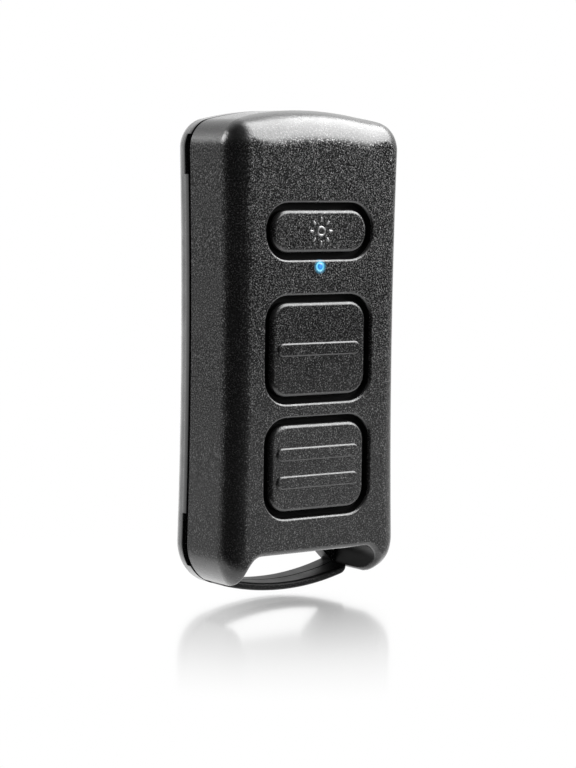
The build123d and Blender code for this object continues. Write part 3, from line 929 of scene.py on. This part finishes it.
def addStrap(form):
    # The strap's front part, between the legs: a bar bent along the bottom arc with eased front edges
    thick, front, rim, arch = back["strap"], back["strapFront"], back["rim"], case["arch"]
    under, edge, inner, end = back["strapUnder"], back["strapEdge"], thick - back["strapStep"], rim + 0.3
    # rows of how far in from the arc, how deep, and the normal's share inwards and backwards
    profile = [(0, end, -1, 0), (0, (front + end) / 2, -1, 0), (0, front + under, -1, 0)]
    profile += [(inset, front + under - down, -out, -ahead) for inset, down, out, ahead in easedEdge(under, 4)[1:]]
    for inset, down, out, ahead in easedEdge(edge, 6)[::-1]:
        profile.append((thick - inset, front + edge - down, out, -ahead))
    ledge = rim - 0.28
    profile += [(thick, ledge - 0.02, 1, 0), (thick, ledge, 0, 1), (inner, ledge, 0, 1),
                (inner, ledge + 0.01, 1, 0), (inner, end, 1, 0)]
    reach = atan(back["strapHalf"] / sqrt(arch**2 - back["strapHalf"] ** 2))
    ribs = []
    for turn in reach * np.sin(np.linspace(-pi / 2, pi / 2, back["strapRibs"])):  # closer together at the ends
        near = max(0.0, back["endRound"] - (reach - abs(turn)) * arch)
        lift = back["endRound"] - sqrt(max(back["endRound"] ** 2 - near**2, 0))
        lean = near / back["endRound"] * (1 if turn > 0 else -1)
        rib = []
        for inset, depth, inwards, behind in profile:
            radius = arch - inset - lift * (1 - inset / thick)
            way = Vector((-inwards * sin(turn), behind, inwards * cos(turn)))
            if inwards < 0:
                way += Vector((lean * cos(turn), 0, lean * sin(turn))) * -inwards / max(sqrt(1 - lean**2), 0.05)
            rib.append(((radius * sin(turn), depth, arch - radius * cos(turn)), way))
        ribs.append(rib)
    rows = list(zip(*ribs))
    form["finish"] = 2
    for here, there in zip(rows, rows[1:]):
        addStrip(form, here, there)
    addStrip(form, *[[(corner, (0, 1, 0)) for corner, _ in row] for row in (rows[-1], rows[0])])
    # the strap's cut ends take the painted-shade finish
    form["finish"] = 1
    for rib, side in ((ribs[0], -1), (ribs[-1], 1)):
        addFace(form, [corner for corner, _ in rib], (side * cos(reach), 0, sin(reach)))


# Raised marks on the caps
marks = {
    "barHalf": 6.8, "barRadius": 0.92, "barPitch": 3.75, "barEdge": 0.3, "barSteps": 5,
    "ringRadius": 0.55, "ringHalf": 0.2, "rays": 8, "rayIn": 1.2, "rayOut": 1.94, "rayHalf": 0.22,
    "sunEdge": 0.2, "sunSteps": 3, "rowGap": 0.6,
    "grid": 1.1, "fromRim": 0.8, "fromMark": 0.35,  # the loose points that fill the flat around them
}


def stadiumRow(start, end, radius, steps):
    # A closed row round a stadium, with points along its straight sides where they are long
    start, end = np.array(start, float), np.array(end, float)
    heading = atan2(end[1] - start[1], end[0] - start[0])
    row = []
    for centre, first in ((end, heading - pi / 2), (start, heading + pi / 2)):
        for angle in np.linspace(first, first + pi, steps + 1):
            row.append(centre + radius * np.array([cos(angle), sin(angle)]))
    if np.linalg.norm(end - start) > 2:
        filled = []
        for a, b in zip(row, row[1:] + row[:1]):
            count = max(1, int(np.linalg.norm(b - a) / marks["rowGap"]))
            filled += [a + (b - a) * i / count for i in range(count)]
        row = filled
    return np.round(np.array(row), 3)


def capMarks(name, centre):
    # Shapes, the closed rows that follow them and the width of their eased edge
    centre = np.array(centre)
    if name == "light":
        edge, ring, half, ray = marks["sunEdge"], marks["ringRadius"], marks["ringHalf"], marks["rayHalf"]
        shapes, rows = [ringShape(centre, ring, half)], []
        for inset in easing(edge, marks["sunSteps"]):
            inset = min(inset, half * 0.96)  # so that the innermost rows stay apart
            rows += [circleLoop(centre, radius) for radius in (ring + half - inset, ring - half + inset)]
        for i in range(marks["rays"]):
            turn = i * 2 * pi / marks["rays"]
            heading = np.array([cos(turn), sin(turn)])
            start, end = centre + heading * (marks["rayIn"] + ray), centre + heading * (marks["rayOut"] - ray)
            shapes.append(stadium(start, end, ray))
            for inset in easing(edge, marks["sunSteps"]):
                rows.append(stadiumRow(start, end, ray - min(inset, ray * 0.9), 6))
        return shapes, rows, edge
    shapes, rows, edge, radius = [], [], marks["barEdge"], marks["barRadius"]
    reach = np.array([marks["barHalf"] - radius, 0])
    for offset in (0,) if name == "one_bar" else (-marks["barPitch"] / 2, marks["barPitch"] / 2):
        middle = centre + np.array([0, offset])
        shapes.append(stadium(middle - reach, middle + reach, radius))
        for inset in easing(edge, marks["barSteps"]):
            rows.append(stadiumRow(middle - reach, middle + reach, radius - inset, 10))
    return shapes, rows, edge


def capFace(form, name, centre, wide, high, corner):
    # The flat top of a cap with its marks raised out of it
    shapes, rows, edge = capMarks(name, centre)
    rim = boxLoop(centre, wide, high, corner)
    dots = gridDots(marks["grid"], centre[0] - wide, centre[0] + wide, centre[1] - high, centre[1] + high)
    offset = np.abs(dots - np.array(centre))
    clear = np.abs(np.min([shape(dots)[0] for shape in shapes], axis=0)) > marks["fromMark"]
    dots = dots[(offset[:, 0] < wide - marks["fromRim"]) & (offset[:, 1] < high - marks["fromRim"]) & clear]
    points, triangles = fillPlan([rim] + rows, [], dots, insideLoop(rim))
    best, ways = np.full(len(points), 1e9), np.zeros((len(points), 2))
    for shape in shapes:
        away, way = shape(points)
        pick = away < best
        best[pick], ways[pick] = away[pick], way[pick]
    lean = (edge - np.clip(-best, 0, edge)) / edge
    height = button["markHeight"] * np.sqrt(np.maximum(1 - lean**2, 0))
    height[best > -0.0012] = 0  # points on a mark's outline stay on the flat
    middles = points[triangles].mean(axis=1)
    raised = np.min([shape(middles)[0] for shape in shapes], axis=0) < 0
    for triangle, up in zip(triangles, raised):
        # the sun's raised strokes take the paler painted-highlight finish
        form["finish"] = 2 if up and name == "light" else 0
        corners = [(points[i][0], -height[i], points[i][1]) for i in triangle]
        normals = [(0, -1, 0)] * 3
        if up:
            slopes = [ways[i] * lean[i] / edge for i in triangle]
            tops = [max(sqrt(max(1 - lean[i] ** 2, 0)) / button["markHeight"], 1e-3) for i in triangle]
            normals = [(slope[0], -top, slope[1]) for slope, top in zip(slopes, tops)]
        addFace(form, corners, normals)


def buttonCap(name):
    form = newForm()
    centre, wide, high, corner = openingBox(name, -button["gap"])
    edge, wall, front = button["edge"], button["capWall"], button["flangeFront"]
    grown, flangeBack = button["gap"] + button["lip"], front + button["flange"]
    # rows of how far out, how deep, and the normal's share outwards and backwards
    eased = easedEdge(edge, button["steps"])[::-1]
    profile = [(-inset, edge - down, out, -ahead) for inset, down, out, ahead in eased]
    profile += [
        (0, front, 1, 0), (0, front, 0, -1), (grown, front, 0, -1), (grown, front, 1, 0), (grown, flangeBack, 1, 0),
        (grown, flangeBack, 0, 1), (-wall, flangeBack, 0, 1), (-wall, flangeBack, -1, 0), (-wall, wall, -1, 0),
    ]
    loop = boxLoop(centre, wide, high, corner)
    closed = np.vstack([loop, loop[:1]])
    rings = []
    for grow, depth, out, behind in profile:
        spots = closed[:, :2] + grow * closed[:, 2:]
        rings.append([((s[0], depth, s[1]), (out * p[2], behind, out * p[3])) for s, p in zip(spots, closed)])
    # below the eased edge the cap's sides and flange take the painted-shade finish, and so does the post further down
    for j, (here, there) in enumerate(zip(rings, rings[1:])):
        form["finish"] = 0 if j < button["steps"] else 1
        addStrip(form, here, there)
    flatFill(form, [shrunk(loop, wall)], wall, 1)
    form["finish"] = 0
    capFace(form, name, centre, wide - edge, high - edge, corner - edge)
    form["finish"] = 1
    post, end = circleLoop(centre, button["post"]), button["postEnd"]
    addWall(form, post, wall, end, button["postEdge"])
    flatFill(form, [shrunk(post, button["postEdge"])], end, 1)
    plastic = middleCapPlastic if name == "one_bar" else capPlastic
    piece = finishForm(form, name + "Cap", name + "_button", [plastic, shadedInnerPlastic, paintedGlintPlastic])
    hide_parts(name + "_button_cap")


frontCover()
backCover()
for name in buttonNames:
    buttonCap(name)


# Indicator: a clear pin lit from behind, its glow painted into it as rings of emission
indicator = {
    "radius": 0.52, "dome": 0.07, "domeFoot": 0.06,
    "stops": ((0.0, (0.02, 0.33, 0.85)), (0.2, (0.01, 0.27, 0.8)), (0.3, (0.0, 0.1, 0.42)), (0.42, (0.03, 0.4, 0.85)),
              (0.52, (0.3, 0.85, 1.0))),
}


def lightGuide():
    form = newForm()
    low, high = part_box("light_guide")
    radius, foot, wall = indicator["radius"], indicator["domeFoot"], case["wall"]
    rows = [(radius, wall)]
    rows += [(radius * out, foot - (foot + indicator["dome"]) * ahead) for _, _, out, ahead in easedEdge(radius, 6)]
    spin = np.linspace(0, 2 * pi, 33)
    for (r1, d1), (r2, d2) in zip(rows, rows[1:]):
        slope = Vector((r1 - r2, d1 - d2)).normalized()
        rings = []
        for r, d in ((r1, d1), (r2, d2)):
            rings.append([((r * cos(t), d, bore["z"] + r * sin(t)), (cos(t) * slope.y, -slope.x, sin(t) * slope.y))
                          for t in spin])
        addStrip(form, *rings)
    x0, x1 = low.x / mm, high.x / mm
    z0, z1, end = low.z / mm, high.z / mm, high.y / mm - faceY
    block = np.array([(x0, z0, 0, -1), (x1, z0, 1, 0), (x1, z1, 0, 1), (x0, z1, -1, 0)])
    flatFill(form, [block], wall, -1)
    flatFill(form, [block], end, 1)
    for p, q in zip(block, np.roll(block, -1, axis=0)):
        addPanel(form, p, q, wall, end, (p[2], 0, p[3]))
    # painted light: the pin glows by emission rings, for the light of the lamp behind it
    clear = darkFinish("litAcrylic", (0.02, 0.08, 0.16), 0.15, 0.5)
    paintGlowByRadius(clear, radius, indicator["stops"])
    piece = finishForm(form, "lightGuide", "case", [clear])
    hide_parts("light_guide")


lightGuide()


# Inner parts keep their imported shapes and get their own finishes
innerFinishes = {
    # colour, roughness, the rest of the finish, and the parts that wear it
    "boardGreen": ((0.03, 0.14, 0.06), 0.35, {"scale": 1500.0}, "circuit_board"),
    "steel": ((0.6, 0.6, 0.61), 0.3, {"metal": 1.0, "scale": 2200.0},
              "board_screws coin_cell positive_clip negative_contact switch_dome"),
    "tin": ((0.74, 0.74, 0.73), 0.38, {"metal": 1.0, "scale": 2600.0},
            "switch_terminals crystal radio_filter switch_plate"),
    "epoxy": ((0.02, 0.02, 0.021), 0.5, {"scale": 3000.0, "bump": 0.3},
              "microcontroller radio_chip tuning_coils chip_resistors"),
    "ceramic": ((0.45, 0.34, 0.24), 0.55, {"scale": 3000.0}, "chip_capacitors"),
    "copper": ((0.8, 0.42, 0.24), 0.3, {"metal": 1.0, "scale": 2600.0}, "loop_antenna"),
    "switchPlastic": ((0.03, 0.03, 0.032), 0.45, {"scale": 2400.0}, "cell_holder switch_base switch_plunger"),
    "lampBlue": ((0.1, 0.3, 0.9), 0.2, {"glow": ((0.05, 0.25, 1.0), 3.0)}, "indicator_lamp"),
}


def dressInnerParts():
    for name, (color, rough, rest, parts) in innerFinishes.items():
        finish = plainFinish(name, color, rough, **rest)
        for part in parts.split():
            # each button has its own switch
            nodes = [part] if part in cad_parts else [prefix + "_" + part for prefix in buttonNames]
            for node in nodes:
                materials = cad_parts[node].data.materials
                materials.clear()
                materials.append(finish)
    print("inner parts dressed")


dressInnerParts()


# Camera at the photo's angle
lens = {"focal": 110.7, "sensor": 36.0, "yaw": 36.0, "pitch": 5.26, "roll": 0.665, "distance": 314.887,
        "right": 4.15, "up": 4.69, "aimHeight": 33.57}


def addCamera():
    yaw, pitch, roll = (radians(lens[key]) for key in ("yaw", "pitch", "roll"))
    ahead = Vector((sin(yaw) * cos(pitch), cos(yaw) * cos(pitch), -sin(pitch)))
    level = Vector((cos(yaw), -sin(yaw), 0))
    upright = level.cross(ahead)
    right = cos(roll) * level + sin(roll) * upright
    up = cos(roll) * upright - sin(roll) * level
    aim = Vector((0, faceY, lens["aimHeight"]))
    spot = aim - lens["right"] * right - lens["up"] * up - lens["distance"] * ahead
    data = bpy.data.cameras.new("camera")
    data.lens, data.sensor_width, data.clip_start = lens["focal"], lens["sensor"], 0.01
    camera = addObject("camera", data)
    camera.matrix_world = Matrix.Translation(spot * mm) @ Matrix((right, up, -ahead)).transposed().to_4x4()
    bpy.context.scene.camera = camera


# Light, floor and the pale studio around them
studio = {
    "worldLight": 0.25, "lampAim": (0, 0, 0.033), "floorZ": -0.00085, "floorHalf": 3.0,
    "mirror": 0.75, "fade": 0.064, "fadeCurve": 1.5, "blur": 0.12,
}
glows = {
    # direction, the cosines between which the white studio changes towards it, and the level reached there
    "darkWall": ((-0.62, -0.64, 0.45), (0.2, 0.42), 0.03),
    "table": ((0, 0, -1), (0.2, 0.6), 1.8),
    "aboveBack": ((0.6, 0.3, 0.74), (0.78, 0.97), 1.9),
    "farWall": ((0.22, 0.97, -0.05), (0.9, 0.99), 1.5),
    "leftWall": ((-1, 0, 0), (0.2, 0.5), 0.8),
}
lamps = {
    # spot, long axis, sizes, radiance, and whether it makes only highlights or only plain light
    "softbox": ((0.4, -0.26, 0.52), (0, -0.8, -0.6), (0.96, 0.68), 9.8, True),
    "cornerLamp": ((-0.49, 0.4, 0.38), (0.7, 0.7, 0), (0.34, 0.3), 10.0, True),
    "keyLamp": ((0.4, -0.26, 0.52), (0, -0.8, -0.6), (0.96, 0.68), 4.4, False),
}


def studioGlow(tree):
    # Radiance by direction, seen only in reflections
    ways = addNode(tree, "ShaderNodeTexCoord").outputs["Generated"]
    total = 1.0
    for axis, spread, level in glows.values():
        dot = addNode(tree, "ShaderNodeVectorMath", {0: ways, 1: Vector(axis).normalized()}, operation="DOT_PRODUCT")
        total = addMath(tree, "MULTIPLY", total, addRange(tree, dot.outputs["Value"], spread, (1.0, level), True))
    return total


def addWorld():
    world = bpy.data.worlds.new("studioWorld")
    world.use_nodes = True
    tree = world.node_tree
    path = addNode(tree, "ShaderNodeLightPath").outputs
    seen = addMath(tree, "MAXIMUM", path["Is Camera Ray"], path["Is Transmission Ray"])
    lit = addBlend(tree, "FLOAT", path["Is Glossy Ray"], studio["worldLight"], studioGlow(tree))
    feed(tree, tree.nodes["Background"], {"Color": (1, 1, 1, 1), "Strength": addBlend(tree, "FLOAT", seen, lit, 1.0)})
    bpy.context.scene.world = world


def addLamps():
    for name, (spot, along, size, radiance, highlights) in lamps.items():
        data = bpy.data.lights.new(name, "AREA")
        data.shape, data.size, data.size_y = "RECTANGLE", size[0], size[1]
        data.energy = radiance * pi * size[0] * size[1]
        lamp = addObject(name, data)
        backwards = (Vector(spot) - Vector(studio["lampAim"])).normalized()
        across = Vector(along) - Vector(along).dot(backwards) * backwards
        across.normalize()
        turn = Matrix((across, backwards.cross(across), backwards)).transposed().to_4x4()
        lamp.matrix_world = Matrix.Translation(Vector(spot)) @ turn
        lamp.visible_camera = False
        lamp.visible_glossy, lamp.visible_diffuse = highlights, not highlights


def addFloor():
    # White for the camera, with a mirror image that fades away from the remote
    half, z = studio["floorHalf"], studio["floorZ"]
    mesh = bpy.data.meshes.new("floor")
    mesh.from_pydata([(-half, -half, z), (half, -half, z), (half, half, z), (-half, half, z)], [], [(0, 1, 2, 3)])
    material, tree, shader = newMaterial("whiteFloor")
    feed(tree, shader, {"Base Color": (0.8, 0.8, 0.8, 1)})
    white = addNode(tree, "ShaderNodeEmission", {"Strength": 1.0})
    mirror = addNode(tree, "ShaderNodeBsdfGlossy", {"Roughness": studio["blur"], "Color": (1, 1, 1, 1)})
    near = addRange(tree, addLength(tree, objectSpot(tree)), (0.0, studio["fade"]), (1.0, 0.0))
    share = addMath(tree, "MULTIPLY", addMath(tree, "POWER", near, studio["fadeCurve"]), studio["mirror"])
    shine = addNode(tree, "ShaderNodeMixShader", {0: share, 1: white.outputs[0], 2: mirror.outputs[0]})
    seen = addNode(tree, "ShaderNodeLightPath").outputs["Is Camera Ray"]
    swap = addNode(tree, "ShaderNodeMixShader", {0: seen, 1: shader.outputs[0], 2: shine.outputs[0]})
    feed(tree, tree.nodes["Material Output"], {"Surface": swap.outputs[0]})
    mesh.materials.append(material)
    floor = addObject("floor", mesh)
    floor.visible_glossy = False


addCamera()
addWorld()
addLamps()
addFloor()
bpy.context.scene.view_settings.view_transform = "Standard"
print("studio set")
